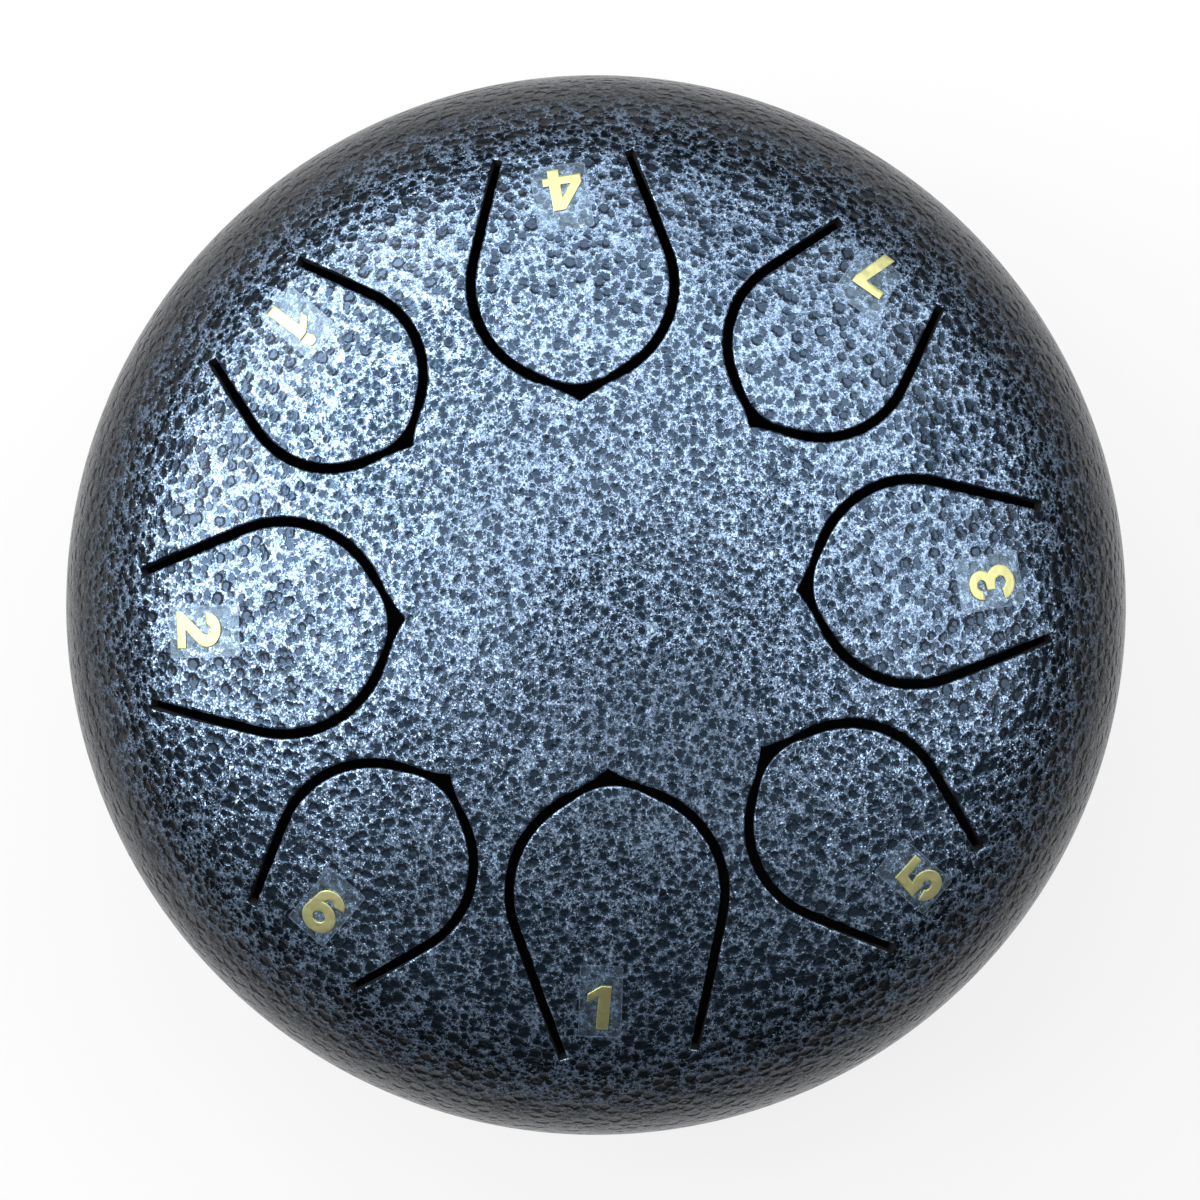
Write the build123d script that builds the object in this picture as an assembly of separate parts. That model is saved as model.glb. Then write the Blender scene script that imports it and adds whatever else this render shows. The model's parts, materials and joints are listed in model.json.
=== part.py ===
from build123d import *
import math
import os

# Steel tongue drum in millimetres: two pressed steel bowls welded at the seam, eight tongues
# cut in the upper bowl, a clear note label on each tongue and rubber feet under the lower bowl.
# +Z is up. The origin is on the floor, on the drum's axis. Tongue 1 points along -Y.

# Pressed bowls. Both come off the same die, and the lower one has its middle pressed flat.
DIAMETER = 155.0
DOME_RISE = 44.0
SHOULDER_RADIUS = 32.0
UPPER_GAUGE = 1.5
LOWER_GAUGE = 1.2
BASE_DROP = 35.0
BASE_BEND = 14.0
SOUND_HOLE_RADIUS = 21.0
SOUND_HOLE_EDGE = 0.4

# Weld groove between the two rims, filled and ground flush.
WELD_HALF_HEIGHT = 0.7
WELD_DEPTH = 0.7

# Tongues. A slot runs from the root round a belly circle to a point on the inner side.
# Each row is the note, its bearing from +X, the length from root to slot point, and the belly
# radius, both to the middle of the slot. The length follows the pitch: the lowest note is longest.
TONGUES = (
    ("1", -90, 40.9, 14.9),
    ("2", 180, 37.1, 14.7),
    ("3", 0, 35.8, 14.2),
    ("4", 90, 35.3, 14.1),
    ("5", -45, 33.5, 13.9),
    ("6", -135, 32.6, 13.8),
    ("7", 45, 31.0, 12.9),
    ("1_high", 135, 30.0, 12.8),
)
SLOT_WIDTH = 1.3
ROOT_DISTANCE = 63.3
ROOT_HALF_WIDTH = 9.25
POINT_REACH = 1.175
POINT_ANGLE = 20.0
TIP_ANGLE = 30.0
TIP_ROUNDING = 0.6
# Hairline that frees a tongue at the line where the steel flexes.
FLEX_GAP = 0.05

# Clear film labels near the tongue roots, seen in plan. Each row is a note's distance from the
# axis, its step to the side, its twist, width and length, as they were cut and stuck on by hand.
LABEL_CORNER = 0.4
LABEL_GAUGE = 0.12
LABELS = {
    "1": (55.1, -3.4, -6.0, 6.0, 10.4),
    "2": (54.6, -0.3, -2.0, 7.2, 10.1),
    "3": (54.8, -0.8, 5.5, 7.6, 9.3),
    "4": (57.0, 0.6, 4.5, 7.8, 9.6),
    "5": (58.3, 0.3, -0.5, 6.3, 9.6),
    "6": (56.4, -0.9, 0.0, 6.6, 9.6),
    "7": (58.8, 0.6, 6.5, 7.0, 8.0),
    "1_high": (57.1, -2.8, 0.0, 6.3, 9.5),
}

# Rubber feet stuck to the flat base with adhesive discs.
FOOT_COUNT = 3
FOOT_DISTANCE = 34.0
FOOT_FIRST_BEARING = 90.0
FOOT_TOP_RADIUS = 6.5
FOOT_TREAD_RADIUS = 5.6
FOOT_HEIGHT = 4.6
FOOT_TREAD_ROUNDING = 0.8
ADHESIVE_RADIUS = 6.0
ADHESIVE_GAUGE = 0.4

# Worked out from the sizes above.
RIM_RADIUS = DIAMETER / 2
SIDE_CENTRE = RIM_RADIUS - SHOULDER_RADIUS
DOME_RADIUS = (SIDE_CENTRE**2 + DOME_RISE**2 - SHOULDER_RADIUS**2) / (2 * (DOME_RISE - SHOULDER_RADIUS))
DOME_DEPTH = DOME_RADIUS - DOME_RISE
JOIN_ANGLE = math.degrees(math.atan2(DOME_DEPTH, SIDE_CENTRE))
WELD_ANGLE = math.degrees(math.asin(WELD_HALF_HEIGHT / SHOULDER_RADIUS))
BEND_HEIGHT = DOME_DEPTH + BASE_DROP - BASE_BEND
FLAT_RADIUS = math.sqrt((DOME_RADIUS - BASE_BEND) ** 2 - BEND_HEIGHT**2)
BEND_ANGLE = math.degrees(math.atan2(BEND_HEIGHT, FLAT_RADIUS))
BASE_HEIGHT = FOOT_HEIGHT + ADHESIVE_GAUGE
SEAM_HEIGHT = BASE_HEIGHT + BASE_DROP
CUT_HEIGHT = DOME_RISE + 10


def on_circle(centre, radius, degrees):
    """Point at an angle on a circle."""
    turn = math.radians(degrees)
    return (centre[0] + radius * math.cos(turn), centre[1] + radius * math.sin(turn))


def spun(edges):
    """Solid of revolution about the drum's axis, from a closed outline drawn at the seam."""
    section = Plane.XZ * make_face(edges)
    return Pos(0, 0, SEAM_HEIGHT) * revolve(section, Axis.Z)


def dome_line(inset):
    """Arcs of the upper bowl's section, set in from the outside, from the axis to the seam."""
    dome = CenterArc((0, -DOME_DEPTH), DOME_RADIUS - inset, 90, JOIN_ANGLE - 90)
    side = CenterArc((SIDE_CENTRE, 0), SHOULDER_RADIUS - inset, JOIN_ANGLE, -JOIN_ANGLE)
    return dome, side


def rim_edges(gauge, outer_end):
    """Rim of a bowl: the bevel of the weld groove, then the flat land down to the inside."""
    groove_foot = (RIM_RADIUS - WELD_DEPTH, 0)
    return [Line(outer_end, groove_foot), Line(groove_foot, (RIM_RADIUS - gauge, 0))]


def make_upper_bowl():
    """Upper bowl before the tongues are cut."""
    dome, _ = dome_line(0)
    side = CenterArc((SIDE_CENTRE, 0), SHOULDER_RADIUS, JOIN_ANGLE, WELD_ANGLE - JOIN_ANGLE)
    inner_dome, inner_side = dome_line(UPPER_GAUGE)
    axis = Line(inner_dome @ 0, dome @ 0)
    return spun([dome, side, *rim_edges(UPPER_GAUGE, side @ 1), inner_side, inner_dome, axis])


def base_line(inset, seam_angle):
    """Section of the lower bowl, set in from the outside, from the sound hole to the seam."""
    bend_centre = (FLAT_RADIUS, BASE_BEND - BASE_DROP)
    bend = CenterArc(bend_centre, BASE_BEND - inset, -90, 90 - BEND_ANGLE)
    dome = CenterArc((0, DOME_DEPTH), DOME_RADIUS - inset, -BEND_ANGLE, BEND_ANGLE - JOIN_ANGLE)
    side = CenterArc((SIDE_CENTRE, 0), SHOULDER_RADIUS - inset, -JOIN_ANGLE, JOIN_ANGLE - seam_angle)
    flat = Line((SOUND_HOLE_RADIUS, inset - BASE_DROP), bend @ 0)
    return [flat, bend, dome, side]


def make_lower_bowl():
    """Lower bowl with its flat base and the rounded edge of the sound hole."""
    outer = base_line(0, WELD_ANGLE)
    inner = base_line(LOWER_GAUGE, 0)
    hole = Line(inner[0] @ 0, outer[0] @ 0)
    bowl = spun([*outer, *rim_edges(LOWER_GAUGE, outer[-1] @ 1), *inner, hole])
    edges = bowl.edges().filter_by(GeomType.CIRCLE)
    hole_edges = edges.filter_by(lambda edge: abs(edge.radius - SOUND_HOLE_RADIUS) < SOUND_HOLE_EDGE)
    return fillet(hole_edges, SOUND_HOLE_EDGE)


def make_seam_weld():
    """Weld bead that fills the groove between the rims."""
    face = CenterArc((SIDE_CENTRE, 0), SHOULDER_RADIUS, -WELD_ANGLE, 2 * WELD_ANGLE)
    groove_foot = (RIM_RADIUS - WELD_DEPTH, 0)
    return spun([face, Line(face @ 1, groove_foot), Line(groove_foot, face @ 0)])


def mirrored(edges):
    """The edges and their mirror images across the tongue's own axis."""
    return edges + [mirror(edge, about=Plane.XZ) for edge in edges]


class Outline:
    """Plan of one tongue pointing along +X from the drum's axis, with the slot around it."""

    def __init__(self, length, belly):
        self.belly = belly
        self.point = ROOT_DISTANCE - length
        self.centre = (self.point + POINT_REACH * belly, 0)
        run = ROOT_DISTANCE - self.centre[0]
        lean = math.acos(belly / math.hypot(run, ROOT_HALF_WIDTH))
        self.side_angle = math.degrees(math.atan2(ROOT_HALF_WIDTH, run) + lean)

    def root_corner(self, offset):
        """Square end of the slot, on its inner or outer edge."""
        return on_circle((ROOT_DISTANCE, ROOT_HALF_WIDTH), offset, self.side_angle)

    def flank(self, offset, end_angle):
        """Straight side and belly arc of one edge of the slot, up to an angle on the belly."""
        radius = self.belly + offset
        side = Line(self.root_corner(offset), on_circle(self.centre, radius, self.side_angle))
        return [side, CenterArc(self.centre, radius, self.side_angle, end_angle - self.side_angle)]

    def tongue_face(self):
        """The tongue itself: it ends in a rounded tip and at the straight line of its root."""
        edges = self.flank(-SLOT_WIDTH / 2, 180 - TIP_ANGLE)
        rounding = TIP_ROUNDING * self.belly
        drop = (self.belly - SLOT_WIDTH / 2 - rounding) / math.cos(math.radians(TIP_ANGLE))
        tip_centre = (self.centre[0] - drop, 0)
        edges.append(Line(edges[-1] @ 1, on_circle(tip_centre, rounding, 180 - TIP_ANGLE)))
        tip = CenterArc(tip_centre, rounding, 180 - TIP_ANGLE, 2 * TIP_ANGLE)
        corner = self.root_corner(-SLOT_WIDTH / 2)
        root = Line((corner[0], -corner[1]), corner)
        return make_face([*mirrored(edges), tip, root])

    def opening_face(self):
        """The hole in the bowl: it ends in a sharp point and just past the tongue's root."""
        edges = self.flank(SLOT_WIDTH / 2, 180 - POINT_ANGLE)
        edges.append(TangentArc(edges[-1] @ 1, (self.point, 0), tangent=edges[-1] % 1))
        outer = self.root_corner(SLOT_WIDTH / 2)
        inner = self.root_corner(-SLOT_WIDTH / 2)
        freed = (inner[0] + FLEX_GAP, inner[1])
        edges.append(Line(freed, outer))
        root = Line((freed[0], -freed[1]), freed)
        return make_face([*mirrored(edges), root])


def upright_cut(face, bearing):
    """Vertical prism over a plan face, turned to a bearing, through the upper bowl."""
    return Rot(0, 0, bearing) * Pos(0, 0, SEAM_HEIGHT) * extrude(face, CUT_HEIGHT)


def make_film_layer():
    """Thin layer over the whole upper bowl, that the labels are cut from."""
    axis = Line((0, DOME_RISE), (0, DOME_RISE + LABEL_GAUGE))
    seam = Line((RIM_RADIUS, 0), (RIM_RADIUS + LABEL_GAUGE, 0))
    return spun([*dome_line(0), *dome_line(-LABEL_GAUGE), axis, seam])


def make_label(layer, bearing, distance, step, twist, width, length):
    """Clear film that follows the dome, with its foot towards the rim."""
    plan = Pos(distance, step) * Rot(0, 0, twist) * RectangleRounded(length, width, LABEL_CORNER)
    return layer & upright_cut(plan, bearing)


def make_foot():
    """Tapered rubber foot with a rounded tread, standing on the floor at the origin."""
    foot = loft([Circle(FOOT_TREAD_RADIUS), Pos(0, 0, FOOT_HEIGHT) * Circle(FOOT_TOP_RADIUS)])
    return fillet(foot.faces().sort_by(Axis.Z)[0].edges(), FOOT_TREAD_ROUNDING)


def make_adhesive():
    """Adhesive disc between a foot and the base."""
    return Pos(0, 0, FOOT_HEIGHT) * extrude(Circle(ADHESIVE_RADIUS), ADHESIVE_GAUGE)


def build():
    """Every piece of the drum by name."""
    upper_bowl = make_upper_bowl()
    film_layer = make_film_layer()
    pieces = {}
    openings = []
    for note, bearing, length, belly in TONGUES:
        outline = Outline(length, belly)
        openings.append(upright_cut(outline.opening_face(), bearing))
        pieces[f"tongue_{note}"] = upper_bowl & upright_cut(outline.tongue_face(), bearing)
        pieces[f"note_label_{note}"] = make_label(film_layer, bearing, *LABELS[note])
    pieces["top_shell"] = upper_bowl - openings
    pieces["bottom_shell"] = make_lower_bowl()
    pieces["seam_weld"] = make_seam_weld()
    for number in range(FOOT_COUNT):
        place = Rot(0, 0, FOOT_FIRST_BEARING + number * 360 / FOOT_COUNT) * Pos(FOOT_DISTANCE, 0, 0)
        pieces[f"foot_{number + 1}"] = place * make_foot()
        pieces[f"foot_adhesive_{number + 1}"] = place * make_adhesive()
    return pieces


if __name__ == "__main__":
    os.makedirs("parts", exist_ok=True)
    for name, piece in build().items():
        export_step(piece, f"parts/{name}.step")
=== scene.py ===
import json
import math

import bmesh
import bpy
from mathutils import Matrix, Vector, noise


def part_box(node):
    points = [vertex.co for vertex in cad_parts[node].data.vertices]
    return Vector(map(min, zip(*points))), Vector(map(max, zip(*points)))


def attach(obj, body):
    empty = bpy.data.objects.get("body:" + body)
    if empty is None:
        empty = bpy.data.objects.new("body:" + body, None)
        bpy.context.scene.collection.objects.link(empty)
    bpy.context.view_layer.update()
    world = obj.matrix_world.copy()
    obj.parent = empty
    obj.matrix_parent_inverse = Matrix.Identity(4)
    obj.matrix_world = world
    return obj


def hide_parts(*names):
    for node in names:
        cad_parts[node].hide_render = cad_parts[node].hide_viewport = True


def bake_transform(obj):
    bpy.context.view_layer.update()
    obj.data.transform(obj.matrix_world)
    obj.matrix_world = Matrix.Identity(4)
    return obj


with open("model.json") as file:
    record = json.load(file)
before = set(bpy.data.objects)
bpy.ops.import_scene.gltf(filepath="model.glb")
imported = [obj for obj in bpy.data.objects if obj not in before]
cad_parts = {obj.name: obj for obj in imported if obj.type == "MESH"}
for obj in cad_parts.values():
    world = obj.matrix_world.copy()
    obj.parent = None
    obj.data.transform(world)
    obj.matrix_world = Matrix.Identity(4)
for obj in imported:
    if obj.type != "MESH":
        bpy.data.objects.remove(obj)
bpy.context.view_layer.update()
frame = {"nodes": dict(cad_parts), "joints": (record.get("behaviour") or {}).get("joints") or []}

# Bowl sizes in millimetres. Heights are over the seam, which the frame gives with the rim.
MM = 0.001
SEAM_HEIGHT = round((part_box("seam_weld")[0].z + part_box("seam_weld")[1].z) / 2 / MM, 2)
RIM_RADIUS = round(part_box("seam_weld")[1].x / MM, 1)
DOME_RISE = round(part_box("top_shell")[1].z / MM - SEAM_HEIGHT, 1)
BASE_DROP = round(SEAM_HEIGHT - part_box("bottom_shell")[0].z / MM, 1)
SHOULDER_RADIUS = 32.0
UPPER_GAUGE = 1.5
LOWER_GAUGE = 1.2
BASE_BEND = 14.0
SOUND_HOLE_RADIUS = 21.0
SOUND_HOLE_EDGE = 0.4
SOUND_HOLE_LAND = 0.3
WELD_HALF_HEIGHT = 0.7
WELD_LINE = 0.06
WELD_CROWN = 0.3
WELD_SLOPE = 0.7
ROUND_SEGMENTS = 240

# Longest step along the arcs of each outline.
SLOT_GRAIN = 0.6
BOWL_GRAIN = 1.8
WELD_GRAIN = 0.1
FIGURE_GRAIN = 0.05
FOOT_GRAIN = 0.15

# How near two points are taken as one, and the angle in degrees from which an edge is drawn sharp.
CUT_TOLERANCE = 0.002
SPIN_TOLERANCE = 0.0005
JOIN_TOLERANCE = 0.01
RIM_TOLERANCE = 0.1
SHARP_EDGE = 40.0
SHARP_NUMERAL_EDGE = 50.0

# Tongues: length from the root to the point of the slot and belly radius, to the slot's middle.
TONGUES = {
    "1": (40.9, 14.9),
    "2": (37.1, 14.7),
    "3": (35.8, 14.2),
    "4": (35.3, 14.1),
    "5": (33.5, 13.9),
    "6": (32.6, 13.8),
    "7": (31.0, 12.9),
    "1_high": (30.0, 12.8),
}
SLOT_WIDTH = 1.3
ROOT_DISTANCE = 63.3
ROOT_HALF_WIDTH = 9.25
POINT_REACH = 1.175
POINT_ANGLE = 20.0
TIP_ANGLE = 30.0
TIP_ROUNDING = 0.6
SLOT_EDGE = 0.3
SLOT_EDGE_STEPS = 3
SLOT_EDGE_LAND = 0.15
SHEET_RADIUS = 70.0
SHEET_GRID = 2.0
SHEET_BORDER = 1.0
SIDE_RINGS = 16
UPRIGHT_WALLS_TO = 55.0
LEANING_WALLS_FROM = 64.0

# At its root a tongue is parted from the bowl, along the line where the real tongue flexes. Narrow faces lie
# on both sides of the line.
ROOT_ROWS = (-0.3, 0.3, 0)
ROOT_BAND = 4
FLEX_LENGTH = 3.0

# Film labels as stuck on by hand: distance from the axis, step to the side, twist, width and length.
LABELS = {
    "1": (55.1, -3.4, -6.0, 6.0, 10.4),
    "2": (54.6, -0.3, -2.0, 7.2, 10.1),
    "3": (54.8, -0.8, 5.5, 7.6, 9.3),
    "4": (57.0, 0.6, 4.5, 7.8, 9.6),
    "5": (58.3, 0.3, -0.5, 6.3, 9.6),
    "6": (56.4, -0.9, 0.0, 6.6, 9.6),
    "7": (58.8, 0.6, 6.5, 7.0, 8.0),
    "1_high": (57.1, -2.8, 0.0, 6.3, 9.5),
}
LABEL_CORNER = 0.36
LABEL_CORNER_STEPS = 3
LABEL_GAUGE = 0.12
LABEL_LIFT = 0.015
LABEL_GRID = 0.4
LABEL_WRINKLE = 0.05
WRINKLES_PER_MM = 0.55
LABEL_CUT_EDGE = 0.1

# Gold numerals: distance from the axis, step to the side, twist and height.
NUMERALS = {
    "1": (55.9, -3.8, -9.0, 6.35),
    "2": (55.4, -0.65, -2.0, 6.45),
    "3": (55.2, -1.15, 3.0, 6.7),
    "4": (58.2, 0.3, 5.5, 6.05),
    "5": (59.5, 0.45, -1.0, 6.2),
    "6": (57.1, -0.85, 0.0, 6.4),
    "7": (60.8, 0.55, 6.0, 6.05),
    "1_high": (58.4, -2.45, 3.6, 6.15),
}
NUMERAL_WIDENING = 1.17
NUMERAL_GAUGE = 0.1
NUMERAL_EDGE = 0.14
NUMERAL_SINK = 0.03
NUMERAL_GRID = 0.6
NUMERAL_REACH = 4.8

# The numeral's edge rises in three steps: shares of its edge width and of its gauge.
NUMERAL_PILLOW = ((0.08, 0.45), (0.3, 0.4), (0.62, 0.15))
DOT_RADIUS = 0.145
DOT_PLACE = (0.33, 1.17, 0)
EYE_RADIUS = 0.12
ROUND_FIGURE_SEGMENTS = 24

# Rubber feet: the dished tread from its middle outwards, and the side as steps in and down from the top.
FOOT_TAPER = 0.9
FOOT_ROUNDING = 0.8
FOOT_ROUNDING_ARC = 80
FOOT_DISH = ((0, 0.35), (2.0, 0.35), (2.5, 0.05), (2.8, 0))
FOOT_SIDE = ((0.12, 0.9), (0.02, 0.8), (0, 0.3), (0.25, 0))
FOOT_SEGMENTS = 64

# The photo's top is a little clockwise of tongue 4, and its camera looks straight down on the drum.
PHOTO_TURN = 4.2
CAMERA_HEIGHT = 600.0
CAMERA_FIELD = 176.1
CAMERA_STEP = (4.0, 5.0)
CAMERA_SENSOR = 36
PHOTO_PIXELS = 1200

# Soft boxes round the drum: bearings in the photo, angle off the zenith, size, and watts of each box.
BOX_DISTANCE = 1000.0
WIDE_BOX = 480.0
SMALL_BOX = 240.0
SOFT_BOXES = {
    "key": ((120, 140, 160), 58, SMALL_BOX, 2.1),
    "left": ((180,), 50, WIDE_BOX, 3.4),
    "fill": ((0, 45, 90), 50, WIDE_BOX, 2.2),
    "overhead": ((60, 120, 180), 25, WIDE_BOX, 1.1),
    "far_side": ((225, 315), 50, WIDE_BOX, 0.2),
    "far_overhead": ((240, 300), 25, WIDE_BOX, 0.25),
}
ROOM_LIGHT = (0.012, 0.012, 0.012, 1)

# The floor's glow is white round the drum, with a painted pool of light on the side that the light comes from
# and painted shade far off, and it is dark under the drum.
FLOOR_RADIUS = 6000.0
FLOOR_SEGMENTS = 96
PAINTED_LIGHT_POOL = (-170.0, 170.0, 0.0)
PAINTED_LIGHT_POOL_EDGE = (200.0, 420.0)
NEAR_FLOOR_EDGE = (135.0, 215.0)
UNDER_DRUM_EDGE = (40.0, 70.0)
FLOOR_GLOW = 0.8
WHITE = (1, 1, 1, 1)
FAR_FLOOR_PAINTED_SHADE = (0.30, 0.30, 0.30, 1)

# Hammertone paint: pits and flakes per millimetre, how far the flakes lean, and the depths of the relief.
COARSE_PITS = 0.46
MEDIUM_PITS = 0.80
FINE_PITS = 1.60
FLAKE_CHIPS = 4.6
FLAKE_TILT = 0.42
SHEET_SWELL = 0.8
COARSE_RELIEF = 0.26
MEDIUM_RELIEF = 0.05

# Sizes of the pits as shares of their spacing. The coarse ones grow from the middle outwards.
PIT_GROWTH = (20.0, 62.0)
COARSE_SIZES = (0.26, 0.43)
COARSE_SPREAD = (-0.06, 0.06)
MEDIUM_SIZES = (0.30, 0.54)
FINE_SIZES = (0.18, 0.53)

# Its colours, which darken towards the rim between two heights over the seam: partly a darker burst finish,
# partly painted shade for the dark reflections at the shoulder.
DULL_FLAKE = (0.195, 0.29, 0.44, 1)
BRIGHT_FLAKE = (0.505, 0.69, 0.97, 1)
RIM_FLAKE_BURST_AND_SHADE = (0.022, 0.028, 0.034, 1)
FLAKE_BURST_AND_SHADE_HEIGHTS = (15.0, 30.0)
PIT = (0.036, 0.062, 0.100, 1)
# Painted glint and shade in the rim's pits: a dark edge and a lighter bottom.
RIM_PIT_SHADED_EDGE = (0.005, 0.007, 0.010, 1)
RIM_PIT_GLINT = (0.024, 0.030, 0.038, 1)
PIT_BURST_AND_SHADE_HEIGHTS = (22.0, 33.0)

# The other finishes, each of which runs between two colours.
# Painted shade, partly a real dark primer: the inside is near black so that the slots read black.
PRIMER_AND_PAINTED_SHADE = ((0.004, 0.004, 0.005, 1), (0.010, 0.011, 0.013, 1))
FILM = ((0.44, 0.62, 0.82, 1), (0.58, 0.80, 1.0, 1))
FILM_EDGE = ((0.34, 0.46, 0.66, 1), (0.52, 0.66, 0.88, 1))
GOLD = ((0.72, 0.705, 0.30, 1), (0.86, 0.855, 0.46, 1))
RUBBER = ((0.010, 0.010, 0.011, 1), (0.026, 0.026, 0.027, 1))
FOAM = ((0.42, 0.42, 0.40, 1), (0.62, 0.62, 0.60, 1))
FLOOR = ((0.80, 0.80, 0.80, 1), (0.84, 0.84, 0.84, 1))

SIDE_CENTRE = RIM_RADIUS - SHOULDER_RADIUS
DOME_RADIUS = (SIDE_CENTRE**2 + DOME_RISE**2 - SHOULDER_RADIUS**2) / (2 * (DOME_RISE - SHOULDER_RADIUS))
DOME_DEPTH = DOME_RADIUS - DOME_RISE
JOIN_ANGLE = math.degrees(math.atan2(DOME_DEPTH, SIDE_CENTRE))
BEND_HEIGHT = DOME_DEPTH + BASE_DROP - BASE_BEND
FLAT_RADIUS = math.sqrt((DOME_RADIUS - BASE_BEND) ** 2 - BEND_HEIGHT**2)
BEND_ANGLE = math.degrees(math.atan2(BEND_HEIGHT, FLAT_RADIUS))
WELD_ANGLE = math.degrees(math.asin(WELD_HALF_HEIGHT / SHOULDER_RADIUS))


def on_circle(centre, radius, degrees):
    """Point at an angle on a circle."""
    turn = math.radians(degrees)
    return (centre[0] + radius * math.cos(turn), centre[1] + radius * math.sin(turn))


def dome_height(radius, inset=0.0):
    """Height of the upper bowl at a distance from the axis, on its outside or set in from it."""
    join = SIDE_CENTRE + (SHOULDER_RADIUS - inset) * math.cos(math.radians(JOIN_ANGLE))
    if radius < join:
        return math.sqrt((DOME_RADIUS - inset) ** 2 - radius**2) - DOME_DEPTH
    reach = min(radius - SIDE_CENTRE, SHOULDER_RADIUS - inset)
    return math.sqrt((SHOULDER_RADIUS - inset) ** 2 - reach**2)


def flat_length(point):
    """Distance of a point from the drum's axis."""
    return math.hypot(point.x, point.y)


def points(geom):
    """The points among what a bmesh operation gives back."""
    return [item for item in geom if isinstance(item, bmesh.types.BMVert)]


def extruded(bm):
    """Doubles all faces, with walls between, and gives back the new points."""
    return points(bmesh.ops.extrude_face_region(bm, geom=bm.faces[:], use_keep_orig=True)["geom"])


class Trace:
    """Pen that draws an outline in a bmesh, one line or arc after another."""

    def __init__(self, bm, start, grain):
        self.bm = bm
        self.grain = grain
        self.tip = bm.verts.new((*start, 0))
        self.first = self.tip
        self.verts = [self.tip]

    def line(self, *ends):
        """Straight lines to each end in turn."""
        for end in ends:
            self.tip = bmesh.ops.extrude_vert_indiv(self.bm, verts=[self.tip])["verts"][0]
            self.tip.co = Vector((*end, 0))
            self.verts.append(self.tip)
        return self

    def arc(self, centre, degrees):
        """Arc about a centre, anticlockwise for positive degrees."""
        centre = Vector((*centre, 0))
        sweep = math.radians(degrees)
        steps = max(3, math.ceil(abs(sweep) * (self.tip.co - centre).length / self.grain))
        for _ in range(steps):
            turned = bmesh.ops.spin(
                self.bm, geom=[self.tip], cent=centre, axis=(0, 0, 1), angle=sweep / steps, steps=1
            )
            self.tip = points(turned["geom_last"])[0]
            self.verts.append(self.tip)
        return self

    def bend(self, end, heading):
        """Arc to an end that leaves in a heading."""
        chord = Vector(end) - self.tip.co.xy
        forward = chord.dot(heading)
        side = Vector((-heading.y, heading.x))
        lateral = chord.dot(side)
        centre = self.tip.co.xy + side * chord.length_squared / (2 * lateral)
        return self.arc(centre, math.degrees(2 * math.atan2(lateral, forward)))

    def close(self):
        """Line back to the start."""
        self.bm.edges.new((self.tip, self.first))

    def edges(self):
        """Edges drawn so far."""
        drawn = set(self.verts)
        return [edge for edge in self.bm.edges if edge.verts[0] in drawn and edge.verts[1] in drawn]


class Tongue:
    """Plan of one tongue that points along +X from the axis, and of the slot round it."""

    def __init__(self, note):
        length, self.belly = TONGUES[note]
        self.note = note
        hinge = next(joint for joint in frame["joints"] if joint["child"] == f"tongue_{note}")
        self.bearing = math.atan2(hinge["pos_m"][1], hinge["pos_m"][0])
        self.point = ROOT_DISTANCE - length
        self.centre = (self.point + POINT_REACH * self.belly, 0)
        run = ROOT_DISTANCE - self.centre[0]
        lean = math.acos(self.belly / math.hypot(run, ROOT_HALF_WIDTH))
        self.side_angle = math.degrees(math.atan2(ROOT_HALF_WIDTH, run) + lean)
        self.root = self.root_corner(-SLOT_WIDTH / 2)

    def root_corner(self, offset):
        """Square end of the slot, on its inner or outer edge."""
        return on_circle((ROOT_DISTANCE, ROOT_HALF_WIDTH), offset, self.side_angle)

    def turned(self, bm, verts):
        """Turns points from the tongue's own axis to its bearing on the drum."""
        bmesh.ops.rotate(bm, verts=verts, cent=(0, 0, 0), matrix=Matrix.Rotation(self.bearing, 3, "Z"))

    def own_plan(self, point):
        """A point of the drum in the tongue's own plan."""
        return Matrix.Rotation(-self.bearing, 3, "Z") @ Vector((point.x, point.y, 0))

    def on_drum(self, along, step):
        """A point of the tongue's own plan on the drum."""
        return Matrix.Rotation(self.bearing, 3, "Z") @ Vector((along, step, 0))

    def in_frame(self, distance):
        """Place in the shared frame on the tongue's middle line, at a distance in from its root."""
        reach = self.root[0] - distance
        across = reach * math.cos(self.bearing), reach * math.sin(self.bearing)
        return tuple(Vector((*across, SEAM_HEIGHT + dome_height(reach))) * MM)

    def cut_slot(self, sheet):
        """Draws half of the slot, from the tongue's tip round its root end to the point, and mirrors it."""
        inner = self.belly - SLOT_WIDTH / 2
        outer = self.belly + SLOT_WIDTH / 2
        rounding = TIP_ROUNDING * self.belly
        drop = (inner - rounding) / math.cos(math.radians(TIP_ANGLE))
        tip_centre = (self.centre[0] - drop, 0)
        pen = Trace(sheet, (tip_centre[0] - rounding, 0), SLOT_GRAIN)
        pen.arc(tip_centre, -TIP_ANGLE)
        pen.line(on_circle(self.centre, inner, 180 - TIP_ANGLE))
        pen.arc(self.centre, self.side_angle - 180 + TIP_ANGLE)
        pen.line(self.root, self.root_corner(SLOT_WIDTH / 2))
        pen.line(on_circle(self.centre, outer, self.side_angle))
        pen.arc(self.centre, 180 - POINT_ANGLE - self.side_angle)
        heading = math.radians(270 - POINT_ANGLE)
        pen.bend((self.point, 0), Vector((math.cos(heading), math.sin(heading))))
        half = pen.verts + pen.edges()
        other = bmesh.ops.mirror(
            sheet, geom=half, matrix=Matrix.Identity(4), merge_dist=JOIN_TOLERANCE, axis="Y"
        )
        verts = set(pen.verts) | set(points(other["geom"]))
        self.turned(sheet, [vert for vert in verts if vert.is_valid])


def everything(bm):
    """All that a bmesh holds."""
    return bm.verts[:] + bm.edges[:] + bm.faces[:]


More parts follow.
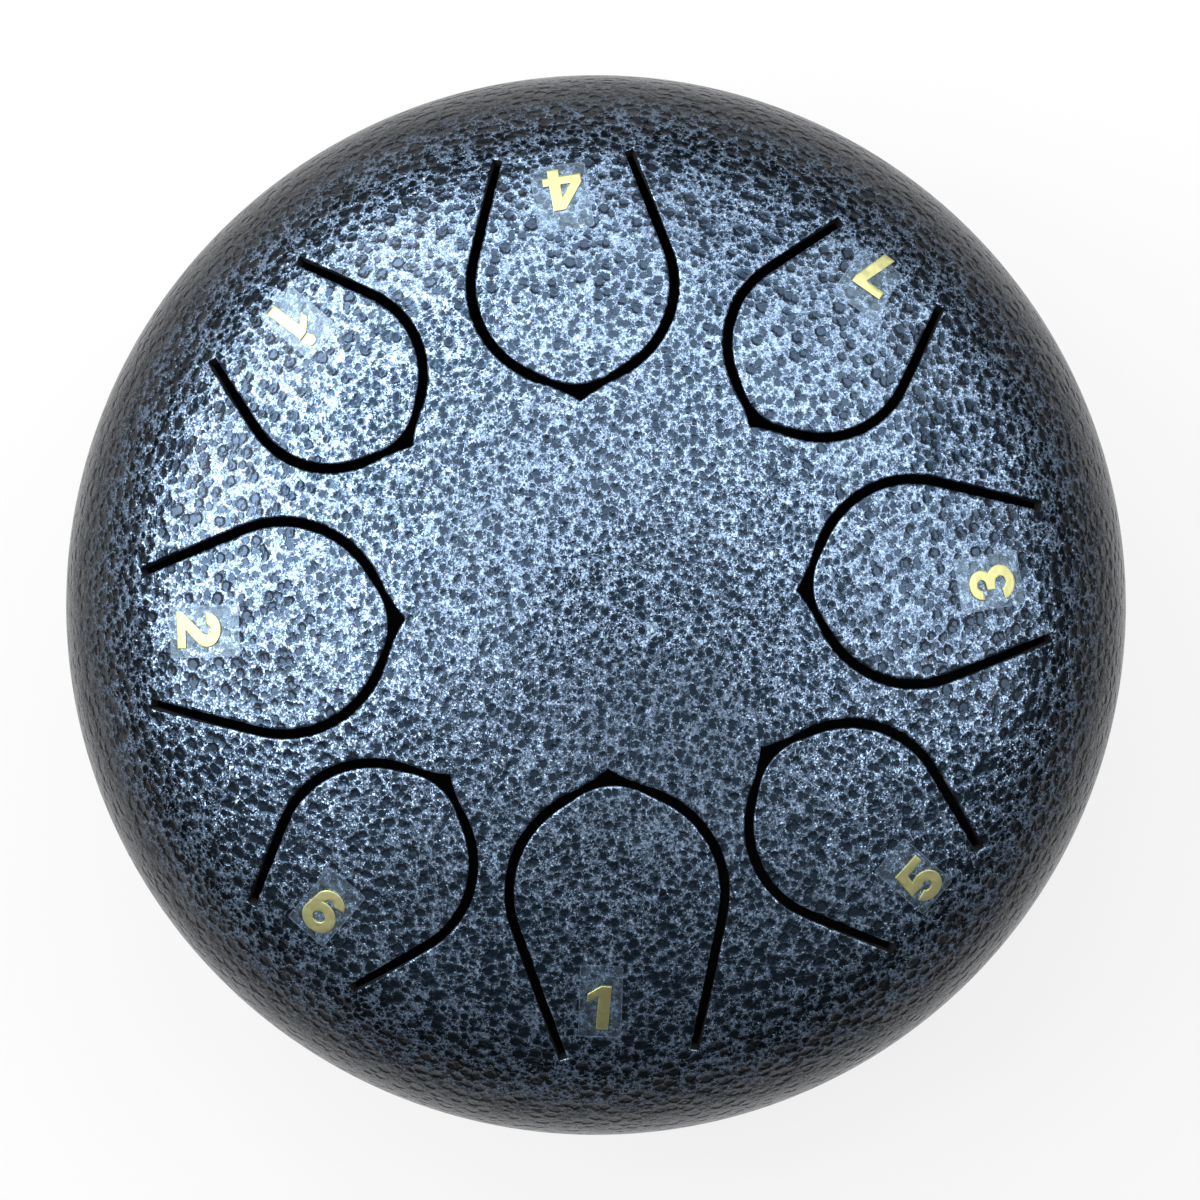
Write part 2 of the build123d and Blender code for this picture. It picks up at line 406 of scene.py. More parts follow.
def cut_grid(bm, middle, half_size, grid):
    """Cuts flat faces along a square grid, so that they can follow a curve."""
    lines = math.ceil(half_size / grid)
    for axis in (Vector((1, 0, 0)), Vector((0, 1, 0))):
        for line in range(-lines, lines + 1):
            spot = middle + axis * line * grid
            bmesh.ops.bisect_plane(bm, geom=everything(bm), dist=CUT_TOLERANCE, plane_co=spot, plane_no=axis)


def fill(bm):
    """Fills flat outlines with faces that look up."""
    bmesh.ops.triangle_fill(bm, use_beauty=True, use_dissolve=False, edges=bm.edges[:], normal=(0, 0, 1))


def flat_upper_sheet(tongues):
    """Plan of the upper bowl's top with its eight slots, their edges rounded."""
    sheet = bmesh.new()
    for tongue in tongues:
        tongue.cut_slot(sheet)
    bmesh.ops.create_circle(sheet, cap_ends=False, radius=SHEET_RADIUS, segments=ROUND_SEGMENTS)
    fill(sheet)
    top = sheet.faces[:]
    for step in range(SLOT_EDGE_STEPS):
        low = math.radians(90 * step / SLOT_EDGE_STEPS)
        high = math.radians(90 * (step + 1) / SLOT_EDGE_STEPS)
        rim = bmesh.ops.inset_region(
            sheet, faces=top, use_boundary=True, use_even_offset=True,
            thickness=SLOT_EDGE * (math.cos(low) - math.cos(high)),
            depth=SLOT_EDGE * (math.sin(high) - math.sin(low)),
        )
        rim = set(rim["faces"])
        top = [face for face in sheet.faces if face not in rim and face in set(top)]
    bmesh.ops.inset_region(
        sheet, faces=top, use_boundary=True, use_even_offset=True, thickness=SLOT_EDGE_LAND, depth=0
    )
    cut_grid(sheet, Vector((0, 0, 0)), SHEET_RADIUS, SHEET_GRID)
    return sheet


def part_tongue(sheet, tongue):
    """Parts a tongue from the bowl along the straight line where it flexes."""
    root, half_width = tongue.root
    outward = Vector((math.cos(tongue.bearing), math.sin(tongue.bearing), 0))
    for step in ROOT_ROWS:
        near = [
            face for face in sheet.faces
            if abs(tongue.own_plan(face.calc_center_median()).x - root) < ROOT_BAND
            and abs(tongue.own_plan(face.calc_center_median()).y) < half_width + SLOT_WIDTH / 2
        ]
        geom = {vert for face in near for vert in face.verts}
        geom |= {edge for face in near for edge in face.edges}
        bmesh.ops.bisect_plane(
            sheet, geom=list(geom) + near, dist=CUT_TOLERANCE,
            plane_co=outward * (root + step), plane_no=outward,
        )
    parting = []
    for edge in sheet.edges:
        ends = [tongue.own_plan(vert.co) for vert in edge.verts]
        on_line = all(abs(end.x - root) < JOIN_TOLERANCE for end in ends)
        if on_line and all(abs(end.y) < half_width + JOIN_TOLERANCE for end in ends):
            parting.append(edge)
    bmesh.ops.split_edges(sheet, edges=parting)


def mark_pieces(sheet, tongues):
    """Numbers the faces by piece: the bowl is 0 and the tongues follow."""
    layer = sheet.faces.layers.int.new("piece")
    for number, tongue in enumerate(tongues, start=1):
        middle = tongue.on_drum(*tongue.centre)
        seed = min(sheet.faces, key=lambda face: (face.calc_center_median().xy - middle.xy).length)
        reached = [seed]
        seed[layer] = number
        while reached:
            face = reached.pop()
            for edge in face.edges:
                for other in edge.link_faces:
                    if other[layer] == 0:
                        other[layer] = number
                        reached.append(other)


def inner_point(point):
    """Point on the inside of the upper bowl under a point of its outside."""
    radius = flat_length(point)
    lean = (radius - UPRIGHT_WALLS_TO) / (LEANING_WALLS_FROM - UPRIGHT_WALLS_TO)
    lean = max(0.0, min(1.0, lean))
    shift = UPPER_GAUGE * lean * max(0.0, radius - SIDE_CENTRE) / SHOULDER_RADIUS
    inside = radius - shift
    shrink = inside / radius if radius else 1.0
    return Vector((point.x * shrink, point.y * shrink, dome_height(inside, UPPER_GAUGE)))


def thicken_upper(bm):
    """Gives the sheet its gauge: the inside gets the second finish."""
    outside = set(bm.faces)
    for point in extruded(bm):
        point.co = inner_point(point.co)
    for face in bm.faces:
        face.material_index = 0 if face in outside else 1
    bmesh.ops.recalc_face_normals(bm, faces=bm.faces[:])


def placed(bm, name):
    """Object in the scene with the faces of a bmesh."""
    mesh = bpy.data.meshes.new(name)
    bm.to_mesh(mesh)
    bm.free()
    piece = bpy.data.objects.new(name, mesh)
    bpy.context.scene.collection.objects.link(piece)
    return piece


def finished(bm, name, finishes, sharp=SHARP_EDGE, seam_frame=True):
    """Piece in the shared frame from a bmesh in millimetres, with heights over the seam or the floor."""
    if seam_frame:
        bmesh.ops.translate(bm, verts=bm.verts[:], vec=(0, 0, SEAM_HEIGHT))
    bmesh.ops.scale(bm, verts=bm.verts[:], vec=(MM, MM, MM))
    bm.normal_update()
    for face in bm.faces:
        face.smooth = True
    for edge in bm.edges:
        edge.smooth = edge.calc_face_angle(0.0) < math.radians(sharp)
    piece = placed(bm, name)
    for finish in finishes:
        piece.data.materials.append(finish)
    return piece


def fitted(piece, body, slot, *nodes):
    """Sets a piece on its body and in place of the CAD nodes it stands for. Its slot is not used."""
    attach(piece, body)
    if nodes:
        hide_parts(*nodes)


def make_upper_pieces(tongues, paint, primer_and_shade):
    """Upper bowl and its tongues, cut from one sheet so that the slots match all round."""
    sheet = flat_upper_sheet(tongues)
    for tongue in tongues:
        part_tongue(sheet, tongue)
    mark_pieces(sheet, tongues)
    for vert in sheet.verts:
        radius = flat_length(vert.co)
        below = 0.0 if radius > SHEET_RADIUS - SHEET_BORDER else vert.co.z - SLOT_EDGE
        vert.co.z = dome_height(radius) + below
    for number in range(len(tongues) + 1):
        bm = sheet.copy()
        layer = bm.faces.layers.int["piece"]
        others = [face for face in bm.faces if face[layer] != number]
        bmesh.ops.delete(bm, geom=others, context="FACES")
        if number == 0:
            add_side(bm)
            thicken_upper(bm)
            fitted(finished(bm, "upper_bowl", [paint, primer_and_shade]), "drum", "hammertone_paint", "top_shell")
        else:
            thicken_upper(bm)
            tongue = tongues[number - 1]
            body = f"tongue_{tongue.note}"
            plate = finished(bm, f"tongue_plate_{tongue.note}", [paint, primer_and_shade])
            tongue.in_frame(0)
            tongue.in_frame(FLEX_LENGTH)
            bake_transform(plate)
            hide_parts(body)
    sheet.free()


def add_side(bm):
    """Draws the bowl's side down from the sheet's outer edge to the weld."""
    start = math.degrees(math.acos((SHEET_RADIUS - SIDE_CENTRE) / SHOULDER_RADIUS))
    inside = SHEET_RADIUS - RIM_TOLERANCE
    edges = [
        edge for edge in bm.edges
        if edge.is_boundary and all(flat_length(vert.co) > inside for vert in edge.verts)
    ]
    for ring in range(1, SIDE_RINGS + 1):
        radius, height = on_circle(
            (SIDE_CENTRE, 0), SHOULDER_RADIUS, start + (WELD_ANGLE - start) * ring / SIDE_RINGS
        )
        made = bmesh.ops.extrude_edge_only(bm, edges=edges)["geom"]
        edges = [item for item in made if isinstance(item, bmesh.types.BMEdge)]
        for point in points(made):
            point.co = Vector((*(point.co.xy.normalized() * radius), height))


def turn_about(bm, axis, degrees):
    """Turns all points of a bmesh about an axis through the origin."""
    turn = Matrix.Rotation(math.radians(degrees), 3, axis)
    bmesh.ops.rotate(bm, verts=bm.verts[:], cent=(0, 0, 0), matrix=turn)


def spin_section(bm, segments=ROUND_SEGMENTS):
    """Turns a section drawn in plan upright and spins it about the drum's axis."""
    turn_about(bm, "X", 90)
    section = bm.verts[:] + bm.edges[:]
    bmesh.ops.spin(
        bm, geom=section, cent=(0, 0, 0), axis=(0, 0, 1), angle=math.tau, steps=segments, use_merge=True
    )
    bmesh.ops.remove_doubles(bm, verts=bm.verts[:], dist=SPIN_TOLERANCE)
    bmesh.ops.recalc_face_normals(bm, faces=bm.faces[:])


def make_lower_bowl(paint, primer_and_shade):
    """Lower bowl with its flat base and the rolled edge of the sound hole."""
    bm = bmesh.new()
    floor = -BASE_DROP
    bend = (FLAT_RADIUS, BASE_BEND - BASE_DROP)
    edge = SOUND_HOLE_RADIUS + SOUND_HOLE_EDGE
    pen = Trace(bm, on_circle((SIDE_CENTRE, 0), SHOULDER_RADIUS, -WELD_ANGLE), BOWL_GRAIN)
    pen.arc((SIDE_CENTRE, 0), WELD_ANGLE - JOIN_ANGLE)
    pen.arc((0, DOME_DEPTH), JOIN_ANGLE - BEND_ANGLE)
    pen.arc(bend, BEND_ANGLE - 90)
    pen.line((edge + SOUND_HOLE_LAND, floor), (edge, floor))
    pen.arc((edge, floor + SOUND_HOLE_EDGE), -90)
    pen.line((SOUND_HOLE_RADIUS, floor + LOWER_GAUGE - SOUND_HOLE_EDGE))
    pen.arc((edge, floor + LOWER_GAUGE - SOUND_HOLE_EDGE), -90)
    pen.line((FLAT_RADIUS, floor + LOWER_GAUGE))
    pen.arc(bend, 90 - BEND_ANGLE)
    pen.arc((0, DOME_DEPTH), BEND_ANGLE - JOIN_ANGLE)
    pen.arc((SIDE_CENTRE, 0), JOIN_ANGLE - WELD_ANGLE)
    pen.close()
    spin_section(bm)
    for face in bm.faces:
        face.material_index = 1 if face.normal.dot(face.calc_center_median()) < 0 else 0
    fitted(finished(bm, "lower_bowl", [paint, primer_and_shade]), "drum", "hammertone_paint", "bottom_shell")


def make_seam_bead(paint):
    """Weld bead between the rims, ground flush with a faint line along each side."""
    bm = bmesh.new()
    outer, height = on_circle((SIDE_CENTRE, 0), SHOULDER_RADIUS, WELD_ANGLE)
    foot = SIDE_CENTRE + (SHOULDER_RADIUS - UPPER_GAUGE) * math.cos(math.radians(WELD_ANGLE))
    slope, crown = WELD_SLOPE * height, WELD_CROWN * height
    pen = Trace(bm, (foot, -height), WELD_GRAIN)
    pen.line((outer - WELD_LINE, -height), (RIM_RADIUS - WELD_LINE / 4, -slope), (RIM_RADIUS, -crown))
    pen.line((RIM_RADIUS, crown), (RIM_RADIUS - WELD_LINE / 4, slope), (outer - WELD_LINE, height))
    pen.line((foot, height))
    pen.close()
    spin_section(bm)
    fitted(finished(bm, "seam_bead", [paint]), "drum", "hammertone_paint", "seam_weld")


def lie_on_dome(bm, lift):
    """Lays a flat plan on the dome: its own heights stay over the paint."""
    for vert in bm.verts:
        vert.co.z += dome_height(flat_length(vert.co)) + lift(vert.co)


def film_wrinkle(point):
    """How far the film has sunk into the paint's pits at a point."""
    return -LABEL_WRINKLE * (0.5 + 0.5 * noise.noise(Vector((point.x, point.y, 0)) * WRINKLES_PER_MM))


def make_label(tongue, film, film_edge):
    """Clear film label that lies on its tongue with faint wrinkles and a paler cut edge."""
    distance, step, twist, width, length = LABELS[tongue.note]
    bm = bmesh.new()
    cells = (round(length / LABEL_GRID), round(width / LABEL_GRID))
    bmesh.ops.create_grid(bm, x_segments=cells[0], y_segments=cells[1], size=0.5)
    corners = [vert for vert in bm.verts if len(vert.link_edges) == 2]
    bmesh.ops.scale(bm, verts=bm.verts[:], vec=(length, width, 1))
    bmesh.ops.bevel(
        bm, geom=corners, offset=LABEL_CORNER, affect="VERTICES", segments=LABEL_CORNER_STEPS,
        profile=0.5, material=-1,
    )
    turn_about(bm, "Z", twist)
    bmesh.ops.translate(bm, verts=bm.verts[:], vec=(distance, step, 0))
    tongue.turned(bm, bm.verts[:])
    border = bmesh.ops.inset_region(
        bm, faces=bm.faces[:], use_boundary=True, use_even_offset=True, thickness=LABEL_CUT_EDGE, depth=0
    )
    for face in border["faces"]:
        face.material_index = 1
    lower = set(bm.verts)
    upper = extruded(bm)
    for face in bm.faces:
        if 0 < sum(vert in lower for vert in face.verts) < len(face.verts):
            face.material_index = 1
    bmesh.ops.translate(bm, verts=upper, vec=(0, 0, LABEL_GAUGE - LABEL_LIFT))
    lie_on_dome(bm, lambda point: LABEL_LIFT + (film_wrinkle(point) if point.z > LABEL_LIFT else 0))
    bmesh.ops.recalc_face_normals(bm, faces=bm.faces[:])
    label = finished(bm, f"film_label_{tongue.note}", [film, film_edge])
    fitted(label, f"tongue_{tongue.note}", "clear_film", f"note_label_{tongue.note}")


def draw_one(bm):
    """Figure 1 with its flag."""
    pen = Trace(bm, (0.21, 0), FIGURE_GRAIN)
    pen.line((0.44, 0), (0.44, 1), (0.25, 1), (0, 0.79), (0, 0.60), (0.21, 0.75)).close()
    return 0.44


def draw_two(bm):
    """Figure 2."""
    bowl = (0.36, 0.675)
    pen = Trace(bm, (0.035, 0.675), FIGURE_GRAIN)
    pen.arc(bowl, -215).line((0.36, 0.205), (0.70, 0.205), (0.70, 0), (0, 0), (0, 0.12))
    pen.line(on_circle(bowl, 0.095, -35)).arc(bowl, 215).close()
    return 0.70


def draw_three(bm):
    """Figure 3."""
    upper, lower = (0.34, 0.73), (0.36, 0.315)
    pen = Trace(bm, on_circle(upper, 0.27, 190), FIGURE_GRAIN)
    pen.arc(upper, -227.9).arc(lower, -222.2)
    pen.line(on_circle(lower, 0.11, -170)).arc(lower, 260)
    pen.line((0.24, 0.43), (0.24, 0.62), (0.34, 0.64)).arc(upper, 280).close()
    return 0.68


def draw_four(bm):
    """Figure 4 with its open triangle."""
    pen = Trace(bm, (0.42, 0), FIGURE_GRAIN)
    pen.line((0.65, 0), (0.65, 0.18), (0.77, 0.18), (0.77, 0.38), (0.65, 0.38), (0.65, 1), (0.40, 1))
    pen.line((0, 0.38), (0, 0.18), (0.42, 0.18)).close()
    Trace(bm, (0.42, 0.38), FIGURE_GRAIN).line((0.42, 0.68), (0.23, 0.38)).close()
    return 0.77


def draw_five(bm):
    """Figure 5."""
    bowl = (0.36, 0.325)
    pen = Trace(bm, (0.65, 1), FIGURE_GRAIN)
    pen.line((0.06, 1), (0, 0.40), on_circle(bowl, 0.10, 145)).arc(bowl, -310)
    pen.line(on_circle(bowl, 0.325, 195)).arc(bowl, 280).line((0.25, 0.80), (0.65, 0.80)).close()
    return 0.69


def draw_six(bm):
    """Figure 6 with its round eye."""
    tail, bowl = (0.36, 0.69), (0.35, 0.335)
    pen = Trace(bm, on_circle(tail, 0.31, 15), FIGURE_GRAIN)
    pen.arc(tail, 162).line((0.01, 0.335)).arc(bowl, 292).line((0.26, 0.69)).arc(tail, -162).close()
    eye = Matrix.Translation((*bowl, 0))
    bmesh.ops.create_circle(bm, cap_ends=False, radius=EYE_RADIUS, segments=ROUND_FIGURE_SEGMENTS, matrix=eye)
    return 0.70


def draw_seven(bm):
    """Figure 7."""
    pen = Trace(bm, (0, 1), FIGURE_GRAIN)
    pen.line((0.66, 1), (0.66, 0.84), (0.42, 0), (0.17, 0), (0.41, 0.79), (0, 0.79)).close()
    return 0.66


def draw_high_one(bm):
    """Figure 1 of the upper octave, with its dot."""
    width = draw_one(bm)
    dot = bmesh.ops.create_circle(
        bm, cap_ends=False, radius=DOT_RADIUS, segments=ROUND_FIGURE_SEGMENTS
    )["verts"]
    bmesh.ops.scale(bm, verts=dot, vec=(1 / NUMERAL_WIDENING, 1, 1))
    bmesh.ops.translate(bm, verts=dot, vec=DOT_PLACE)
    return width


# Each draws a figure of height 1 and returns its width.
FIGURES = {
    "1": draw_one, "2": draw_two, "3": draw_three, "4": draw_four,
    "5": draw_five, "6": draw_six, "7": draw_seven, "1_high": draw_high_one,
}


def make_numeral(tongue, gold):
    """Raised gold numeral on the film, with a pillowed edge and its top towards the axis."""
    distance, step, twist, height = NUMERALS[tongue.note]
    bm = bmesh.new()
    width = FIGURES[tongue.note](bm)
    bmesh.ops.translate(bm, verts=bm.verts[:], vec=(-width / 2, -0.5, 0))
    bmesh.ops.scale(bm, verts=bm.verts[:], vec=(height * NUMERAL_WIDENING, height, 1))
    turn_about(bm, "Z", 90 + twist)
    bmesh.ops.translate(bm, verts=bm.verts[:], vec=(distance, step, 0))
    tongue.turned(bm, bm.verts[:])
    fill(bm)
    top = bm.faces[:]
    for thickness, depth in NUMERAL_PILLOW:
        rim = set(bmesh.ops.inset_region(
            bm, faces=top, use_boundary=True, use_even_offset=True,
            thickness=thickness * NUMERAL_EDGE, depth=depth * NUMERAL_GAUGE,
        )["faces"])
        top = [face for face in top if face.is_valid and face not in rim]
    cut_grid(bm, tongue.on_drum(distance, step), NUMERAL_REACH, NUMERAL_GRID)
    for point in extruded(bm):
        point.co.z = -NUMERAL_SINK
    lie_on_dome(bm, lambda point: LABEL_GAUGE)
    bmesh.ops.recalc_face_normals(bm, faces=bm.faces[:])
    numeral = finished(bm, f"numeral_{tongue.note}", [gold], sharp=SHARP_NUMERAL_EDGE)
    fitted(numeral, f"tongue_{tongue.note}", "gold_foil")


def make_foot(number, rubber):
    """Moulded rubber foot with a dished tread and a narrow moulding line under its top."""
    low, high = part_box(f"foot_{number}")
    middle = (low + high) / 2 / MM
    height = high.z / MM
    top = (high.x - low.x) / 2 / MM
    tread = top - FOOT_TAPER - FOOT_ROUNDING
    bm = bmesh.new()
    pen = Trace(bm, FOOT_DISH[0], FOOT_GRAIN)
    pen.line(*FOOT_DISH[1:], (tread, 0))
    pen.arc((tread, FOOT_ROUNDING), FOOT_ROUNDING_ARC)
    pen.line(*((top - inward, height - down) for inward, down in FOOT_SIDE), (0, height))
    spin_section(bm, FOOT_SEGMENTS)
    bmesh.ops.translate(bm, verts=bm.verts[:], vec=(middle.x, middle.y, 0))
    foot = finished(bm, f"rubber_foot_{number}", [rubber], seam_frame=False)
    fitted(foot, "drum", "black_rubber", f"foot_{number}")


class Finish:
    """Node material in the making."""

    def __init__(self, name):
        self.material = bpy.data.materials.new(name)
        self.material.use_nodes = True
        self.tree = self.material.node_tree
        self.shader = self.tree.nodes["Principled BSDF"]
        place = self.tree.nodes.new("ShaderNodeTexCoord")
        self.place = self.vector("SCALE", place.outputs["Object"], Scale=1 / MM)

    def node(self, kind, inputs, **settings):
        """Node with its settings, values and links."""
        node = self.tree.nodes.new(kind)
        for name, value in settings.items():
            setattr(node, name, value)
        for socket, value in inputs.items():
            self.feed(node.inputs[socket], value)
        return node

    def feed(self, socket, value):
        """Sets or links one socket."""
        if isinstance(value, bpy.types.NodeSocket):
            self.tree.links.new(value, socket)
        else:
            socket.default_value = value

    def math(self, operation, *values, clamp=False):
        """Arithmetic on numbers."""
        inputs = dict(enumerate(values))
        return self.node("ShaderNodeMath", inputs, operation=operation, use_clamp=clamp).outputs[0]

    def vector(self, operation, *values, **named):
        """Arithmetic on vectors."""
        inputs = {**dict(enumerate(values)), **named}
        return self.node("ShaderNodeVectorMath", inputs, operation=operation).outputs[0]

    def ramp(self, value, low, high, to_low=0.0, to_high=1.0, soft=True):
        """Value mapped from one range to another, with soft ends."""
        kind = "SMOOTHSTEP" if soft else "LINEAR"
        inputs = {"Value": value, "From Min": low, "From Max": high, "To Min": to_low, "To Max": to_high}
        return self.node("ShaderNodeMapRange", inputs, interpolation_type=kind).outputs[0]

    def mix(self, factor, first, second):
        """Blend of two colours."""
        node = self.node("ShaderNodeMix", {}, data_type="RGBA")
        self.feed(node.inputs[0], factor)
        self.feed(node.inputs[6], first)
        self.feed(node.inputs[7], second)
        return node.outputs[2]

    def noise(self, scale, detail=2.0, roughness=0.5, place=None):
        """Noise per millimetre."""
        inputs = {"Vector": place or self.place, "Scale": scale, "Detail": detail, "Roughness": roughness}
        return self.node("ShaderNodeTexNoise", inputs)

    def centred(self, colour, amount):
        """Push of a random colour, which goes all ways alike."""
        return self.vector("SCALE", self.vector("SUBTRACT", colour, (0.5, 0.5, 0.5)), Scale=amount)

    def wavy(self, place, scale, amount):
        """Place pushed about by noise, in millimetres."""
        push = self.noise(scale, 1.0, 0.5, place).outputs["Color"]
        return self.vector("ADD", place, self.centred(push, amount))

    def away_from(self, spot):
        """Distance from a spot, in millimetres."""
        inputs = {0: self.place, 1: spot}
        return self.node("ShaderNodeVectorMath", inputs, operation="DISTANCE").outputs["Value"]

    def cells(self, place, scale):
        """Scattered cells per millimetre."""
        return self.node("ShaderNodeTexVoronoi", {"Vector": place, "Scale": scale, "Randomness": 1.0})

    def own_size(self, cells, least, most):
        """Size that differs from cell to cell."""
        chance = self.node("ShaderNodeSeparateColor", {0: cells.outputs["Color"]}).outputs[0]
        return self.ramp(chance, 0.0, 1.0, least, most, soft=False)

    def pit_depth(self, cells, scale, size):
        """How far a place lies inside the edge of a pit, in millimetres, or outside it where negative."""
        return self.math("DIVIDE", self.math("SUBTRACT", size, cells.outputs["Distance"]), scale)

    def bump(self, height, distance, normal=None):
        """Relief in millimetres."""
        inputs = {"Height": height, "Distance": distance * MM, "Strength": 1.0}
        if normal is not None:
            inputs["Normal"] = normal
        return self.node("ShaderNodeBump", inputs).outputs[0]

    def tilted(self, normal, cells, amount):
        """Normal that leans its own way in each cell, as flakes of metal lie in paint."""
        leaning = self.vector("ADD", normal, self.centred(cells.outputs["Color"], amount))
        return self.vector("NORMALIZE", leaning)

    def over_seam(self, heights):
        """0 under the first and 1 over the second of two heights over the seam."""
        height = self.node("ShaderNodeSeparateXYZ", {0: self.place}).outputs[2]
        return self.ramp(height, *(SEAM_HEIGHT + level for level in heights))

    def from_axis(self):
        """Distance from the drum's axis, in millimetres."""
        axes = self.node("ShaderNodeSeparateXYZ", {0: self.place}).outputs
        across = self.math("ADD", self.math("POWER", axes[0], 2.0), self.math("POWER", axes[1], 2.0))
        return self.math("SQRT", across)

    def set(self, **sockets):
        """Sets sockets of the surface shader by name, with underscores for spaces."""
        for name, value in sockets.items():
            self.feed(self.shader.inputs[name.replace("_", " ")], value)


def hammertone_paint():
    """Hammertone enamel: dark rounded pits of three sizes in a pale blue metallic flake. It darkens towards
    the rim, partly as a burst finish and partly as painted shade, and the pits there carry painted glints.
    """
    finish = Finish("hammertone_enamel")
    place = finish.wavy(finish.place, 0.9, 0.45)
    coarse = finish.cells(place, COARSE_PITS)
    medium = finish.cells(place, MEDIUM_PITS)
    fine = finish.cells(place, FINE_PITS)
    larger_outside = finish.ramp(finish.from_axis(), *PIT_GROWTH, *COARSE_SIZES)
    coarse_size = finish.math("ADD", larger_outside, finish.own_size(coarse, *COARSE_SPREAD))
    coarse_depth = finish.pit_depth(coarse, COARSE_PITS, coarse_size)
    medium_depth = finish.pit_depth(medium, MEDIUM_PITS, finish.own_size(medium, *MEDIUM_SIZES))
    fine_depth = finish.pit_depth(fine, FINE_PITS, finish.own_size(fine, *FINE_SIZES))
    depth = finish.math("MAXIMUM", finish.math("MAXIMUM", coarse_depth, medium_depth), fine_depth)
    speckle = finish.noise(6.5, 1.0, 0.5).outputs["Fac"]
    ragged = finish.math("MULTIPLY", finish.math("SUBTRACT", speckle, 0.5), 1.1)
    flake = finish.ramp(finish.math("SUBTRACT", ragged, depth), -0.07, 0.19)
    chips = finish.cells(finish.place, FLAKE_CHIPS)
    tone = finish.node("ShaderNodeSeparateColor", {0: chips.outputs["Color"]}).outputs[1]
    # Painted shade, partly a darker burst finish: flakes and pits darken towards the rim, where the shoulder
    # reflects the dark room.
    rim_burst_and_shade = finish.over_seam(FLAKE_BURST_AND_SHADE_HEIGHTS)
    pale = finish.mix(rim_burst_and_shade, RIM_FLAKE_BURST_AND_SHADE, finish.mix(tone, DULL_FLAKE, BRIGHT_FLAKE))
    # Painted glint and shade: near the rim the pits are lighter in their bottoms and darkest at their edges,
    # like dimples that catch the light.
    pit_glint_mask = finish.ramp(coarse_depth, 0.14, 0.36)
    rim_pit_glint_and_shade = finish.mix(pit_glint_mask, RIM_PIT_SHADED_EDGE, RIM_PIT_GLINT)
    dark = finish.mix(finish.over_seam(PIT_BURST_AND_SHADE_HEIGHTS), rim_pit_glint_and_shade, PIT)
    colour = finish.mix(flake, dark, pale)
    finish.set(Base_Color=colour, Metallic=finish.ramp(flake, 0.0, 1.0, 0.85, 0.80, soft=False))
    finish.set(Roughness=finish.ramp(flake, 0.0, 1.0, 0.25, 0.28, soft=False))
    finish.set(Specular_IOR_Level=0.4, Specular_Tint=(0.80, 0.80, 0.82, 1))
    finish.set(Coat_Weight=0.12, Coat_Roughness=0.14, Coat_IOR=1.5)
    swell = finish.noise(0.07, 1.0, 0.4).outputs["Fac"]
    normal = finish.bump(swell, SHEET_SWELL)
    steep = finish.ramp(rim_burst_and_shade, 0.2, 1.0, 1.0, 0.5)
    crater = finish.math("MULTIPLY", finish.ramp(coarse_depth, -0.15, 0.45, 1.0, 0.0), steep)
    normal = finish.bump(crater, COARSE_RELIEF, normal)
    normal = finish.bump(finish.ramp(medium_depth, -0.10, 0.25, 1.0, 0.0), MEDIUM_RELIEF, normal)
    finish.set(Normal=finish.tilted(normal, chips, finish.math("MULTIPLY", flake, FLAKE_TILT)))
    return finish.material


def inside_primer_and_painted_shade():
    """Near-black inside of the bowls: partly a thin dark primer, partly painted shade so that the slots read
    black.
    """
    finish = Finish("dark_primer_and_painted_shade")
    grain = finish.noise(1.5, 3.0, 0.6).outputs["Fac"]
    finish.set(Base_Color=finish.mix(grain, *PRIMER_AND_PAINTED_SHADE))
    finish.set(Roughness=finish.ramp(grain, 0.3, 0.7, 0.7, 0.9))
    finish.set(Normal=finish.bump(finish.noise(3.0, 2.0).outputs["Fac"], 0.02))
    return finish.material


def clear_film():
    """Clear film that veils the paint with a faint silvery haze and scuffs."""
    finish = Finish("clear_label_film")
    scuff = finish.noise(1.2, 3.0, 0.65).outputs["Fac"]
    finish.set(Base_Color=finish.mix(scuff, *FILM))
    finish.set(Metallic=0.7, Alpha=finish.ramp(scuff, 0.35, 0.7, 0.05, 0.15))
    finish.set(Roughness=finish.ramp(scuff, 0.3, 0.7, 0.30, 0.40))
    finish.set(Normal=finish.bump(finish.noise(0.9, 2.0).outputs["Fac"], 0.05))
    return finish.material


def film_cut_edge():
    """Cut edge of the clear film, which catches the light."""
    finish = Finish("clear_film_edge")
    nick = finish.noise(2.5, 2.0, 0.6).outputs["Fac"]
    finish.set(Base_Color=finish.mix(nick, *FILM_EDGE))
    finish.set(Metallic=0.6, Roughness=0.45, Alpha=finish.ramp(nick, 0.35, 0.65, 0.12, 0.45))
    return finish.material


def numeral_gold():
    """Pale gold-coloured metal with a fine grain, pressed down over the uneven paint."""
    finish = Finish("gold_metal")
    grain = finish.noise(6.0, 2.0, 0.6).outputs["Fac"]
    finish.set(Base_Color=finish.mix(grain, *GOLD))
    finish.set(Metallic=1.0, Roughness=finish.ramp(grain, 0.3, 0.7, 0.42, 0.52))
    crease = finish.noise(0.45, 1.0, 0.5).outputs["Fac"]
    finish.set(Normal=finish.bump(grain, 0.005, finish.bump(crease, 0.12)))
    return finish.material


def foot_rubber():
    """Matt black rubber with a fine moulded grain."""
    finish = Finish("moulded_rubber")
    grain = finish.noise(4.0, 3.0, 0.6).outputs["Fac"]
    finish.set(Base_Color=finish.mix(grain, *RUBBER))
    finish.set(Roughness=finish.ramp(grain, 0.3, 0.7, 0.62, 0.8))
    finish.set(Normal=finish.bump(grain, 0.03))
    return finish.material


